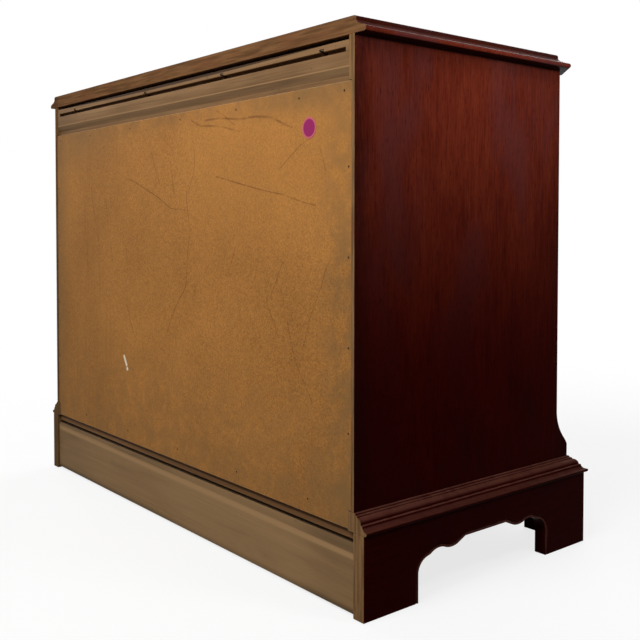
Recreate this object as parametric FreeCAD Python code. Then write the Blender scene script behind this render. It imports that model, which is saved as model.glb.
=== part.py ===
import FreeCAD, Part
import math
import os

# A block-front chest of drawers. Lengths are in millimetres. X runs along the front, depths run from
# the back plane towards the front, and heights run up from the floor.

Vector = FreeCAD.Vector

# Case
HEIGHT = 813.0                # floor to the top surface
CASE_WIDTH = 968.0            # across the outer faces of the sides
CASE_DEPTH = 486.0            # back plane to the front plane of the corner posts
SIDE_THICK = 19.0
RABBET_LIP = 6.5              # strip of the side left outside the back panel
RAIL_LIP = 11.0               # strip of the side left outside the back rail
OVERRUN = 3.0                 # extra length of every cutting shape

# Top board
TOP_THICK = 23.5
TOP_SIDE_OVERHANG = 22.0
TOP_FRONT_OVERHANG = 20.0
TOP_CANT_OVERHANG = 14.5
TOP_EDGE_WIDTH = 23.4         # moulded strip along the edge, in from the lip
TOP_EDGE_SHARES = (
    (0.17, 0.0, -0.414), (0.0, 0.17, -0.291), (0.10, 0.325, -0.077), (0.49, 0.438, 0.0),
    (0.49, 0.475, 0.199), (0.82, 0.70, 0.0), (0.82, 0.825, -0.414), (1.0, 1.0, 0.0))

# Canted corner posts
CANT = 29.0                   # cut off each face at the square corner
POST_SIDE_FACE = 9.0          # strip of the post that shows on the end
POST_FRONT_FACE = 12.0        # strip of the post that shows beside the drawers
TONGUE_FOOT = 20.0            # square length of the post above the base
TONGUE_RISE = 59.0            # height of the lamb's tongue
TONGUE_SHARES = ((1.0, 1.0, -0.149), (0.30, 0.20, 0.056), (0.0, 0.0, 0.0))

# Blocked front
BLOCK_RAISE = 14.0            # the outer blocks stand proud of the posts
RECESS_SINK = 14.0            # the middle is sunk behind the posts
RECESS_HALF = 110.0           # half of the flat in the middle
OGEE_RUN = 64.0               # from the middle's flat to a block's flat
SHOULDER_RUN = 46.0           # from a block's flat to the end flat
END_FLAT = 25.0               # flat between a block and a post

# Base
BASE_TOP = 145.0              # floor to the top of the base moulding
MOULD_HEIGHT = 27.0
MOULD_LIP = 25.0              # reach of the moulding beyond the case
MOULD_TONGUE = 12.0           # reach of the moulding under the case
MOULD_SHARES = (
    (0.0, 1.0, 0.0), (0.05, 1.0, -0.414), (0.13, 0.93, 0.0), (0.13, 0.895, 0.0), (0.18, 0.895, -0.414),
    (0.25, 0.84, 0.0), (0.25, 0.81, -0.40), (0.55, 0.52, 0.0), (0.55, 0.49, 0.0), (0.60, 0.49, -0.414),
    (0.67, 0.43, 0.0), (0.67, 0.39, 0.18), (0.87, 0.20, 0.0), (0.925, 0.20, -0.412), (1.0, 0.13, -0.414),
    (0.86, 0.0, 0.0))
BASE_BOARD_THICK = 21.0
BASE_BOARD_PROUD = 20.0       # base boards beyond the case
FOOT_WIDTH = 105.5
BRACKET_REACH = 100.0         # scrolled bracket beyond the foot
APRON_RISE = 75.0             # floor to the straight lower edge of the apron
BRACKET_SHARES = (
    (0.0, 0.58, -0.30), (0.17, 0.835, 0.0), (0.25, 0.86, -0.27), (0.58, 0.893, 0.16), (0.83, 0.898, 0.0),
    (1.0, 1.0, 0.0))
BEAD_WIDTH = 3.4              # bead along the scrolled edge
BEAD_QUIRK = 1.6              # groove behind the bead
BEAD_DEPTH = 1.4
LEDGER = 25.0                 # square strip inside the base
FOOT_BLOCK = 38.0             # square block in each corner of the base
FOOT_BLOCK_HEIGHT = 22.0
FLOOR_GAP = 3.5               # raw inner pieces stop short of the floor
CASE_BOTTOM_THICK = 12.5
CASE_BOTTOM_INSET = 7.0       # its back edge lies in front of the back plane

# Back
BACK_INSET = 1.5              # rails and panel lie this far in
PANEL_THICK = 5.0
PANEL_FIT = 0.5
PANEL_RISE = 1.7              # lower edge of the panel above the case bottom
PANEL_TOP_DROP = 61.5         # upper edge of the panel below the top board
RAIL_THICK = 19.0
TOP_RAIL_GAP = 6.0            # open gap between the back rail and the top board
TOP_RAIL_HEIGHT = 68.5
TOP_RAIL_BEVEL = 12.0
BEVEL_CLEAR = 8.0             # strip of the rail between its bevel and the panel
GROOVE_DROP = 9.5             # wood above the groove
GROOVE_HEIGHT = 6.0
GROOVE_DEPTH = 8.0
GROOVE_STOP = 0.5             # groove ends inside the sides
NOTCH_WIDTH = 10.0            # slot through the rail for each clip
NOTCH_RISE = 4.0
CLIP_WIDTH = 8.0
CLIP_THICK = 1.5
CLIP_FLANGE = 14.0
CLIP_FIT = 0.3
CLIP_SHARES = (-0.855, -0.34, 0.18, 0.80)
BACK_BOARD_GAP = 4.5          # open gap between the case bottom and the back base board
BACK_BOARD_INSET = 4.0        # the back base board lies this far in
BACK_BOARD_BEVEL = 14.0       # height of its bevel at the left end
BACK_BOARD_BEVEL_DEPTH = 3.0
BACK_BOARD_TAPER_SHARE = 0.3  # bevel at the right end

# Drawer frames
DIVIDER = 19.0
TOP_RAIL_FACE = 19.5          # rail above the upper drawer
BOTTOM_RAIL_FACE = 15.0       # rail seen above the base moulding
RAIL_REAR = 20.0              # part of a front rail behind the posts
BACK_RAIL_WIDTH = 31.5
RUNNER_WIDTH = 38.0
GUIDE_HEIGHT = 25.0
OPENING_SHARES = (0.213, 0.235, 0.259, 0.293)

# Drawers
FRONT_GAP = 1.5               # round each drawer front
FRONT_THICK = 20.0            # of a drawer front at its thinnest
FRONT_ROUND_R = 1.5
RUN_GAP = 0.3                 # between a drawer side and its runner
GUIDE_GAP = 0.8
DRAWER_WALL = 12.0
DRAWER_HEADROOM = 12.0        # drawer sides stop below the opening's top
DRAWER_REAR_GAP = 4.5         # between a drawer and the back rail
DRAWER_BOTTOM_THICK = 5.0
DRAWER_BOTTOM_RISE = 10.0
DRAWER_BOTTOM_TONGUE = 6.0
BOTTOM_FIT = 0.2
STOP_WIDTH = 40.0             # block on a rail that stops a drawer
STOP_LENGTH = 18.0
STOP_HEIGHT = 7.0
STOP_SHARES = (-0.5, 0.5)

# Bail pulls
PLATE_WIDTH = 108.0
PLATE_HEIGHT = 60.0
PLATE_THICK = 1.6
PLATE_SHARES = (
    (0.0, 0.78, 0.22), (0.34, 1.0, -0.5), (0.62, 0.62, 0.30), (1.0, 0.46, -0.55), (0.86, -0.12, 0.28),
    (0.52, -0.52, -0.32), (0.22, -0.70, 0.26), (0.0, -1.0, 0.0))
PULL_SPAN = 76.0              # between the two posts
PULL_LIFT = 8.0               # posts above the middle of the drawer front
PULL_REACH = 15.0             # block face to the bail's pivot
POST_BASE_R = 6.5
POST_BASE_THICK = 2.0
POST_NECK_R = 3.6
POST_HEAD_R = 5.5
BAIL_WIRE_R = 2.4
BAIL_FIT = 0.1
BAIL_PIN = 3.0                # pin beyond a post's middle
BAIL_ARM_GAP = 0.8            # straight pin outside a post's head
BAIL_BEND_R = 5.0
BAIL_DROP = 30.0
BAIL_CORNER_R = 14.0

# Places worked out from the sizes
half_case = CASE_WIDTH / 2
inner_half = half_case - SIDE_THICK
opening_half = half_case - CANT - POST_FRONT_FACE
post_back = CASE_DEPTH - CANT - POST_SIDE_FACE
top_under = HEIGHT - TOP_THICK
rabbet_depth = BACK_INSET + PANEL_THICK
rabbet_half = half_case - RABBET_LIP
case_floor = BASE_TOP - MOULD_HEIGHT
base_half = half_case + BASE_BOARD_PROUD
base_front = CASE_DEPTH + BASE_BOARD_PROUD
base_inner_half = base_half - BASE_BOARD_THICK
base_mitre = base_front - BASE_BOARD_THICK
base_inner_front = base_mitre - RECESS_SINK
block_depth = CASE_DEPTH + BLOCK_RAISE
recess_depth = CASE_DEPTH - RECESS_SINK
block_outer = opening_half - END_FLAT - SHOULDER_RUN
block_inner = RECESS_HALF + OGEE_RUN
overall_depth = block_depth + MOULD_LIP
rail_back = post_back - RAIL_REAR
back_rail_front = rabbet_depth + BACK_RAIL_WIDTH
ledger_top = case_floor - CASE_BOTTOM_THICK
ledger_low = ledger_top - LEDGER
back_board_front = BACK_INSET + RAIL_THICK
opening_floor = BASE_TOP + BOTTOM_RAIL_FACE
opening_height = top_under - TOP_RAIL_FACE - opening_floor - DIVIDER * (len(OPENING_SHARES) - 1)
front_back = recess_depth - FRONT_THICK
drawer_rear = back_board_front + DRAWER_REAR_GAP
drawer_half = opening_half - FRONT_GAP
wall_half = drawer_half - DRAWER_WALL
pull_x = (block_inner + block_outer) / 2


def plan(height):
    """Places a point of a plan: x and depth."""
    return lambda x, depth: Vector(x, -depth, height)


def front_view(depth):
    """Places a point of a front view: x and height."""
    return lambda x, height: Vector(x, -depth, height)


def end_view(x):
    """Places a point of an end view: depth and height."""
    return lambda depth, height: Vector(x, -depth, height)


def runs(points, place):
    """Edges through (a, b, bend) points; a bend is the tangent of a quarter of the arc's turn."""
    edges = []
    for (a, b, bend), (c, d, _) in zip(points, points[1:]):
        if bend:
            middle = place((a + c + (d - b) * bend) / 2, (b + d - (c - a) * bend) / 2)
            edges.append(Part.Arc(place(a, b), middle, place(c, d)).toShape())
        else:
            edges.append(Part.LineSegment(place(a, b), place(c, d)).toShape())
    return edges


def outline(points, place):
    """Flat face inside a closed outline."""
    return Part.Face(Part.Wire(runs(points + points[:1], place)))


def corners(*points):
    """Points of a straight-sided outline."""
    return [(a, b, 0) for a, b in points]


def turned(points):
    """The same open line, drawn the other way."""
    bends = [0] + [-bend for _, _, bend in points[:-1]]
    return [(a, b, bend) for (a, b, _), bend in zip(points, bends)][::-1]


def upright(points, low, high):
    """Solid with the same plan from one height to another."""
    return outline(points, plan(low)).extrude(Vector(0, 0, high - low))


def along_x(points, left, right):
    """Solid with the same end view from one x to another."""
    return outline(points, end_view(left)).extrude(Vector(right - left, 0, 0))


def along_depth(points, back, front):
    """Solid with the same front view from one depth to another."""
    return outline(points, front_view(back)).extrude(Vector(0, back - front, 0))


def block(left, right, back, front, low, high):
    """Square block."""
    return Part.makeBox(right - left, front - back, high - low, Vector(left, -front, low))


def flipped(shape):
    """Mirror image across the middle of the chest."""
    return shape.mirror(Vector(), Vector(1, 0, 0))


def ogee(x0, d0, x1, d1, reach):
    """Two tangent arcs between two flats, set outward by reach; the end point is left out."""
    turn = 2 * math.atan2(abs(d1 - d0), x1 - x0)
    way = math.copysign(1, d1 - d0)
    bend = way * math.tan(turn / 4)
    middle_x = (x0 + x1) / 2 - way * reach * math.sin(turn)
    middle_d = (d0 + d1) / 2 + reach * math.cos(turn)
    return [(x0, d0 + reach, bend), (middle_x, middle_d, -bend)]


def front_line(reach, half):
    """Plan line of the blocked front, set outward by reach, from left to right."""
    end = opening_half - END_FLAT
    steps = (
        (-end, CASE_DEPTH, -block_outer, block_depth),
        (-block_inner, block_depth, -RECESS_HALF, recess_depth),
        (RECESS_HALF, recess_depth, block_inner, block_depth),
        (block_outer, block_depth, end, CASE_DEPTH))
    points = [(-half, CASE_DEPTH + reach, 0)]
    for x0, d0, x1, d1 in steps:
        points += ogee(x0, d0, x1, d1, reach)
        points.append((x1, d1 + reach, 0))
    return points + [(half, CASE_DEPTH + reach, 0)]


def front_sweep(section, reach, half):
    """Solid of a section in end view, carried along the blocked front."""
    path = Part.Wire(runs(front_line(reach, half), plan(0)))
    start = Part.Wire(runs(section + section[:1], end_view(-half)))
    return path.makePipeShell([start], True, False)


# Top board
top_half = half_case + TOP_SIDE_OVERHANG
top_front = CASE_DEPTH + TOP_FRONT_OVERHANG
cant_sum = half_case + CASE_DEPTH - CANT + TOP_CANT_OVERHANG * math.sqrt(2)
top_cant_back = cant_sum - top_half
top_cant_half = cant_sum - top_front


def top_edge():
    """What is cut off the top's edge, as distance in from the lip and height."""
    face = [(u * TOP_EDGE_WIDTH, top_under + z * TOP_THICK, bend) for u, z, bend in TOP_EDGE_SHARES]
    lower = corners((-OVERRUN, top_under - OVERRUN), (face[0][0], top_under - OVERRUN))
    upper = corners((TOP_EDGE_WIDTH, HEIGHT + OVERRUN), (-OVERRUN, HEIGHT + OVERRUN))
    return lower + face + upper


def top_board():
    """Top with its edge moulded round the ends, the cants and the blocked front."""
    front = front_line(TOP_FRONT_OVERHANG, top_cant_half)
    left = corners((-top_half, 0), (-top_half, top_cant_back))
    right = corners((top_half, top_cant_back), (top_half, 0))
    board = upright(left + front + right, top_under, HEIGHT)
    edge = top_edge()
    end_cut = outline(edge, lambda inset, z: Vector(inset - top_half, OVERRUN, z))
    end_cut = end_cut.extrude(Vector(0, -top_front, 0))
    slant = math.sqrt(0.5)
    past = 2 * TOP_EDGE_WIDTH

    def on_cant(inset, z):
        back = past + inset
        return Vector(-top_half - (past - inset) * slant, -top_cant_back + back * slant, z)

    cant_cut = outline(edge, on_cant).extrude(Vector(slant, -slant, 0) * (CANT * 2 + past * 2))
    front_edge = [(top_front - inset, z, bend) for inset, z, bend in edge]
    front_cut = front_sweep(front_edge, TOP_FRONT_OVERHANG, top_half + OVERRUN)
    for cut in (end_cut, cant_cut, flipped(end_cut), flipped(cant_cut), front_cut):
        board = board.cut(cut)
    return board


# Case
def moulding_seat():
    """Space that the base moulding takes out of the foot of the case."""
    tongue_half = half_case - MOULD_TONGUE
    front = front_line(-MOULD_TONGUE, tongue_half)
    inside = corners((-tongue_half, -OVERRUN)) + front + corners((tongue_half, -OVERRUN))
    outer = half_case + OVERRUN
    around = corners((-outer, 0), (-outer, overall_depth), (outer, overall_depth), (outer, 0))
    ring = upright(around, case_floor - OVERRUN, BASE_TOP)
    return ring.cut(upright(inside, case_floor - 2 * OVERRUN, BASE_TOP + OVERRUN))


def left_side(seat):
    """End panel with a rabbet for the back panel and the back rail."""
    panel = block(-half_case, -inner_half, 0, post_back, case_floor, top_under)
    low = case_floor - OVERRUN
    high = top_under - PANEL_TOP_DROP + PANEL_FIT
    rabbet = block(-rabbet_half, OVERRUN - inner_half, -OVERRUN, rabbet_depth, low, high)
    rail_seat = block(
        RAIL_LIP - half_case, OVERRUN - inner_half, -OVERRUN, rabbet_depth, low, top_under + OVERRUN)
    return panel.cut(rabbet).cut(rail_seat).cut(seat)


def left_post(seat):
    """Corner post, canted down to a lamb's tongue."""
    post = block(-half_case, -opening_half, post_back, CASE_DEPTH, case_floor, top_under)
    slant = math.sqrt(0.5)
    depth = CANT * slant
    low = BASE_TOP + TONGUE_FOOT
    reach = 2 * CANT
    curve = [(u * depth, low + z * TONGUE_RISE, bend) for u, z, bend in TONGUE_SHARES]
    around = corners((-OVERRUN, low), (-OVERRUN, top_under + OVERRUN), (depth, top_under + OVERRUN))

    def on_cant(inset, z):
        return Vector(-half_case + (inset - reach) * slant, -CASE_DEPTH + (inset + reach) * slant, z)

    cut = outline(around + curve, on_cant).extrude(Vector(slant, -slant, 0) * (2 * reach))
    return post.cut(cut).cut(seat)


def front_rail(low, high):
    """Rail across the front, notched round the posts, with the blocked front edge."""
    back = corners(
        (opening_half, post_back), (inner_half, post_back), (inner_half, rail_back),
        (-inner_half, rail_back), (-inner_half, post_back), (-opening_half, post_back))
    return upright(front_line(0, opening_half) + back, low, high)


def back_panel():
    """Thin sheet in the rabbets, notched over the ends of the base moulding."""
    half = rabbet_half - PANEL_FIT
    low = case_floor + PANEL_RISE
    sheet = block(-half, half, BACK_INSET, rabbet_depth, low, top_under - PANEL_TOP_DROP)
    notch_half = half_case - MOULD_TONGUE - PANEL_FIT
    notch = block(
        -half_case, -notch_half, -OVERRUN, rabbet_depth + OVERRUN, low - OVERRUN, BASE_TOP + PANEL_FIT)
    return sheet.cut(notch).cut(flipped(notch))


groove_top = top_under - TOP_RAIL_GAP - GROOVE_DROP
groove_low = groove_top - GROOVE_HEIGHT


def back_top_rail():
    """Rail under the top with a groove, clip slots and a bevel down to the panel's seat."""
    high = top_under - TOP_RAIL_GAP
    low = high - TOP_RAIL_HEIGHT
    seat = top_under - PANEL_TOP_DROP + BEVEL_CLEAR
    face = corners(
        (rabbet_depth, seat), (BACK_INSET, seat + TOP_RAIL_BEVEL), (BACK_INSET, high), (rabbet_depth, high))
    half = half_case - RAIL_LIP - PANEL_FIT
    rail = along_x(face, -half, half)
    inside = block(-inner_half, inner_half, rabbet_depth, back_board_front, low, high)
    rail = rail.fuse(inside).removeSplitter()
    groove_half = inner_half - GROOVE_STOP
    cuts = [block(-groove_half, groove_half, 0, BACK_INSET + GROOVE_DEPTH, groove_low, groove_top)]
    for share in CLIP_SHARES:
        x = share * half_case
        slot = block(
            x - NOTCH_WIDTH / 2, x + NOTCH_WIDTH / 2, 0, back_board_front + OVERRUN, groove_low,
            groove_top + NOTCH_RISE)
        cuts.append(slot)
    for cut in cuts:
        rail = rail.cut(cut)
    return rail


def top_clips():
    """Bent metal clips from the rail's slots up to the top board."""
    tongue = groove_top + NOTCH_RISE
    stem = back_board_front + CLIP_FIT
    flange = stem + CLIP_THICK + CLIP_FLANGE
    section = corners(
        (BACK_INSET + CLIP_THICK, tongue), (BACK_INSET + CLIP_THICK, tongue - CLIP_THICK),
        (stem + CLIP_THICK, tongue - CLIP_THICK), (stem + CLIP_THICK, top_under - CLIP_THICK),
        (flange, top_under - CLIP_THICK), (flange, top_under), (stem, top_under), (stem, tongue))
    places = [share * half_case for share in CLIP_SHARES]
    return Part.Compound([along_x(section, x - CLIP_WIDTH / 2, x + CLIP_WIDTH / 2) for x in places])


# Base
def apron_cut(start, end):
    """Outline of the scrolled cut-out between the feet of a board."""
    bends = [0] + [bend for _, _, bend in BRACKET_SHARES]
    first = start + FOOT_WIDTH
    last = end - FOOT_WIDTH
    left = [(first + s * BRACKET_REACH, z * APRON_RISE, bend) for s, z, bend in BRACKET_SHARES]
    right = [
        (last - s * BRACKET_REACH, z * APRON_RISE, bend) for (s, z, _), bend in zip(BRACKET_SHARES, bends)]
    return corners((first, -OVERRUN)) + left + right[::-1] + corners((last, -OVERRUN))


def quirk(scroll, through):
    """Groove along a scrolled cut-out, one bead in from its edge."""
    wide = scroll.makeOffset2D(BEAD_WIDTH + BEAD_QUIRK).extrude(through)
    return wide.cut(scroll.makeOffset2D(BEAD_WIDTH).extrude(through))


def left_base_board():
    """End board with two bracket feet and a bead along its scroll."""
    points = corners(
        (-base_half, 0), (-base_half, base_front), (-base_inner_half, base_mitre), (-base_inner_half, 0))
    board = upright(points, 0, case_floor)
    scroll = outline(apron_cut(0, base_front), end_view(-base_half - OVERRUN))
    groove = quirk(scroll, Vector(OVERRUN + BEAD_DEPTH, 0, 0))
    return board.cut(groove).cut(scroll.extrude(Vector(BASE_BOARD_THICK + 2 * OVERRUN, 0, 0)))


def front_base_board():
    """Front board with the blocking carried down to its bracket feet."""
    back = corners(
        (base_inner_half, base_mitre), (block_inner, base_mitre), (block_inner, base_inner_front),
        (-block_inner, base_inner_front), (-block_inner, base_mitre), (-base_inner_half, base_mitre))
    face = front_line(BASE_BOARD_PROUD, base_half)
    board = upright(face + back, 0, case_floor)
    scroll = outline(apron_cut(-base_half, base_half), front_view(overall_depth + OVERRUN))
    through = Vector(0, overall_depth + OVERRUN - base_inner_front + OVERRUN, 0)
    skin = front_line(BASE_BOARD_PROUD + OVERRUN, base_half)
    skin += turned(front_line(BASE_BOARD_PROUD - BEAD_DEPTH, base_half))
    groove = upright(skin, -OVERRUN, case_floor).common(quirk(scroll, through))
    return board.cut(groove).cut(scroll.extrude(through))


def mould_section():
    """Section of the base moulding as reach beyond the case and height."""
    face = [(u * MOULD_LIP, case_floor + z * MOULD_HEIGHT, bend) for u, z, bend in MOULD_SHARES]
    return face + corners((-MOULD_TONGUE, case_floor), (-MOULD_TONGUE, BASE_TOP))


def mitre_wedge():
    """Plan area in front of the two mitres of the base moulding."""
    reach = 2 * (MOULD_LIP + MOULD_TONGUE)
    points = corners(
        (reach - half_case, CASE_DEPTH - reach), (-reach - half_case, CASE_DEPTH + reach),
        (reach + half_case, CASE_DEPTH + reach), (half_case - reach, CASE_DEPTH - reach))
    return upright(points, case_floor - OVERRUN, BASE_TOP + OVERRUN)


def left_base_moulding():
    """End length of the base moulding, mitred at the front."""
    strip = outline(mould_section(), lambda u, z: Vector(-half_case - u, 0, z))
    return strip.extrude(Vector(0, -overall_depth, 0)).cut(mitre_wedge())


def front_base_moulding():
    """Front length of the base moulding, mitred at both ends."""
    section = [(CASE_DEPTH + u, z, bend) for u, z, bend in mould_section()]
    return front_sweep(section, 0, base_half + MOULD_LIP).common(mitre_wedge())


def back_base_board():
    """Raw board across the back of the base, with a tapered bevel along its upper edge."""
    high = ledger_top - BACK_BOARD_GAP
    board = block(-base_inner_half, base_inner_half, BACK_BOARD_INSET, back_board_front, FLOOR_GAP, high)

    def bevel_end(x, share):
        low = high - BACK_BOARD_BEVEL * share
        inner = BACK_BOARD_INSET + BACK_BOARD_BEVEL_DEPTH * share
        points = corners((BACK_BOARD_INSET, low), (BACK_BOARD_INSET, high), (inner, high))
        return Part.Wire(runs(points + points[:1], end_view(x)))

    ends = [bevel_end(-base_inner_half, 1), bevel_end(base_inner_half, BACK_BOARD_TAPER_SHARE)]
    return board.cut(Part.makeLoft(ends, True, True))


def base_ledgers():
    """Strips along the ends and front of the base, under the case bottom."""
    inner = base_inner_half - LEDGER
    end = block(-base_inner_half, -inner, back_board_front, base_inner_front, ledger_low, ledger_top)
    front = block(-inner, inner, base_inner_front - LEDGER, base_inner_front, ledger_low, ledger_top)
    return Part.Compound([end, flipped(end), front])


def foot_blocks():
    """Square blocks under the ledgers in the corners of the base."""
    blocks = []
    low = ledger_low - FOOT_BLOCK_HEIGHT
    for back in (back_board_front, base_mitre - FOOT_BLOCK):
        foot = block(
            -base_inner_half, FOOT_BLOCK - base_inner_half, back, back + FOOT_BLOCK, low, ledger_low)
        blocks += [foot, flipped(foot)]
    return Part.Compound(blocks)


# Drawer levels, from the upper drawer down
def opening_levels():
    """Floor and height of each drawer opening."""
    levels = []
    high = top_under - TOP_RAIL_FACE
    for share in OPENING_SHARES:
        height = share * opening_height
        levels.append((high - height, height))
        high -= height + DIVIDER
    return levels


levels = opening_levels()


def frame_back_rails():
    """Rails across the back, one under each drawer."""
    lows = [low for low, _ in levels]
    return Part.Compound([
        block(-inner_half, inner_half, rabbet_depth, back_rail_front, low - DIVIDER, low) for low in lows])


def drawer_runners():
    """Runner under each end of each drawer."""
    runners = []
    for low, _ in levels:
        left = block(-inner_half, RUNNER_WIDTH - inner_half, back_rail_front, rail_back, low - DIVIDER, low)
        runners += [left, flipped(left)]
    return Part.Compound(runners)


def drawer_guides():
    """Guide beside each end of each drawer."""
    guides = []
    for low, _ in levels:
        left = block(
            -inner_half, -drawer_half - GUIDE_GAP, back_rail_front, rail_back, low, low + GUIDE_HEIGHT)
        guides += [left, flipped(left)]
    return Part.Compound(guides)


def drawer_stops():
    """Blocks on the front rails, just behind the drawer fronts."""
    stops = []
    front = front_back - RUN_GAP
    for low, _ in levels:
        for share in STOP_SHARES:
            left = share * opening_half - STOP_WIDTH / 2
            stops.append(block(left, left + STOP_WIDTH, front - STOP_LENGTH, front, low, low + STOP_HEIGHT))
    return Part.Compound(stops)


# Drawers
def drawer_bottom(low, grow):
    """Bottom sheet, or with grow the groove that holds it."""
    half = wall_half + DRAWER_BOTTOM_TONGUE + grow
    rise = low + DRAWER_BOTTOM_RISE
    return block(
        -half, half, drawer_rear - grow, front_back + DRAWER_BOTTOM_TONGUE + grow, rise - grow,
        rise + DRAWER_BOTTOM_THICK + grow)


def drawer_front(low, height, groove):
    """Solid front with the blocked face, eased along its outer edges."""
    points = front_line(0, drawer_half) + corners((drawer_half, front_back), (-drawer_half, front_back))
    front = upright(points, low + FRONT_GAP, low + height - FRONT_GAP)
    rims = [edge for edge in front.Edges if edge.BoundBox.ZLength < OVERRUN]
    rims = [edge for edge in rims if edge.BoundBox.YMax < FRONT_ROUND_R - recess_depth]
    return front.makeFillet(FRONT_ROUND_R, rims).cut(groove)


def drawer_side(low, height, groove):
    """Left wall, grooved for the bottom."""
    high = low + height - DRAWER_HEADROOM
    return block(-drawer_half, -wall_half, drawer_rear, front_back, low + RUN_GAP, high).cut(groove)


def drawer_back(low, height):
    """Wall across the rear, standing on the bottom."""
    rise = low + DRAWER_BOTTOM_RISE + DRAWER_BOTTOM_THICK
    high = low + height - DRAWER_HEADROOM
    return block(-wall_half, wall_half, drawer_rear, drawer_rear + DRAWER_WALL, rise, high)


# Bail pulls
pull_depth = block_depth + PULL_REACH


def pull_plate(x, z):
    """Shaped plate on the block."""
    half = [(a * PLATE_WIDTH / 2, b * PLATE_HEIGHT / 2, bend) for a, b, bend in PLATE_SHARES]
    other = turned([(-a, b, -bend) for a, b, bend in half])
    points = [(x + a, z + b, bend) for a, b, bend in half[:-1] + other[:-1]]
    return along_depth(points, block_depth, block_depth + PLATE_THICK)


def pull_post(x, z):
    """Turned post with a ball head, bored for the bail."""
    out = Vector(0, -1, 0)
    foot = Vector(x, -block_depth - PLATE_THICK, z)
    post = Part.makeCylinder(POST_BASE_R, POST_BASE_THICK, foot, out)
    post = post.fuse(Part.makeCylinder(POST_NECK_R, PULL_REACH - PLATE_THICK, foot, out))
    post = post.fuse(Part.makeSphere(POST_HEAD_R, Vector(x, -pull_depth, z)))
    start = Vector(x - POST_HEAD_R * 2, -pull_depth, z)
    bore = Part.makeCylinder(BAIL_WIRE_R + BAIL_FIT, POST_HEAD_R * 4, start, Vector(1, 0, 0))
    return post.removeSplitter().cut(bore)


def pull_mounts(z):
    """Plates and posts of both pulls of a drawer."""
    solids = []
    for x in (-pull_x, pull_x):
        solids.append(pull_plate(x, z))
        solids += [pull_post(x + side * PULL_SPAN / 2, z) for side in (-1, 1)]
    return Part.Compound(solids)


def bail(x, z):
    """Bent wire that hangs between two posts."""
    pin = PULL_SPAN / 2 - BAIL_PIN
    arm = PULL_SPAN / 2 + POST_HEAD_R + BAIL_ARM_GAP + BAIL_BEND_R
    quarter = math.tan(math.pi / 8)
    left = [
        (-pin, 0, 0), (BAIL_BEND_R - arm, 0, quarter), (-arm, -BAIL_BEND_R, 0),
        (-arm, BAIL_CORNER_R - BAIL_DROP, quarter), (BAIL_CORNER_R - arm, -BAIL_DROP, 0)]
    right = turned([(-a, b, -bend) for a, b, bend in left])
    path = [(x + a, z + b, bend) for a, b, bend in left + right]
    ring = Part.makeCircle(BAIL_WIRE_R, Vector(x - pin, -pull_depth, z), Vector(1, 0, 0))
    return Part.Wire(runs(path, front_view(pull_depth))).makePipeShell([Part.Wire(ring)], True, False)


# All pieces by name
seat = moulding_seat()
side = left_side(seat)
post = left_post(seat)
base_board = left_base_board()
base_moulding = left_base_moulding()
pieces = {
    "top_board": top_board(),
    "left_side": side,
    "right_side": flipped(side),
    "left_corner_post": post,
    "right_corner_post": flipped(post),
    "back_panel": back_panel(),
    "back_top_rail": back_top_rail(),
    "top_clips": top_clips(),
    "case_bottom": block(
        -base_inner_half, base_inner_half, CASE_BOTTOM_INSET, base_inner_front, ledger_top, case_floor),
    "back_base_board": back_base_board(),
    "left_base_board": base_board,
    "right_base_board": flipped(base_board),
    "front_base_board": front_base_board(),
    "left_base_moulding": base_moulding,
    "right_base_moulding": flipped(base_moulding),
    "front_base_moulding": front_base_moulding(),
    "base_ledgers": base_ledgers(),
    "foot_blocks": foot_blocks(),
    "front_top_rail": front_rail(top_under - TOP_RAIL_FACE, top_under),
    "front_bottom_rail": front_rail(case_floor, opening_floor).cut(seat),
    "frame_back_rails": frame_back_rails(),
    "drawer_runners": drawer_runners(),
    "drawer_guides": drawer_guides(),
    "drawer_stops": drawer_stops(),
}
for number, (low, height) in enumerate(levels, 1):
    name = f"drawer_{number}"
    groove = drawer_bottom(low, BOTTOM_FIT)
    wall = drawer_side(low, height, groove)
    pull_z = low + height / 2 + PULL_LIFT
    if number < len(levels):
        pieces[f"drawer_divider_{number}"] = front_rail(low - DIVIDER, low)
    pieces[f"{name}_front"] = drawer_front(low, height, groove)
    pieces[f"{name}_left_side"] = wall
    pieces[f"{name}_right_side"] = flipped(wall)
    pieces[f"{name}_back"] = drawer_back(low, height)
    pieces[f"{name}_bottom"] = drawer_bottom(low, 0)
    pieces[f"{name}_pull_mounts"] = pull_mounts(pull_z)
    pieces[f"{name}_left_bail"] = bail(-pull_x, pull_z)
    pieces[f"{name}_right_bail"] = bail(pull_x, pull_z)

os.makedirs("parts", exist_ok=True)
for name, shape in pieces.items():
    shape.translated(Vector(0, overall_depth / 2, 0)).exportStep(f"parts/{name}.step")
    print(name, shape.isValid(), len(shape.Solids), round(shape.Volume))
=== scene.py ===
"""A block-front chest of drawers, dressed for a studio picture of its back and its left end."""
import sys

import logging
import math
from dataclasses import dataclass
from enum import Enum
from functools import partial, reduce
from typing import Callable, Iterable, Optional, Sequence, Union

import bmesh
import bpy
from mathutils import Matrix, Vector


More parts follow.
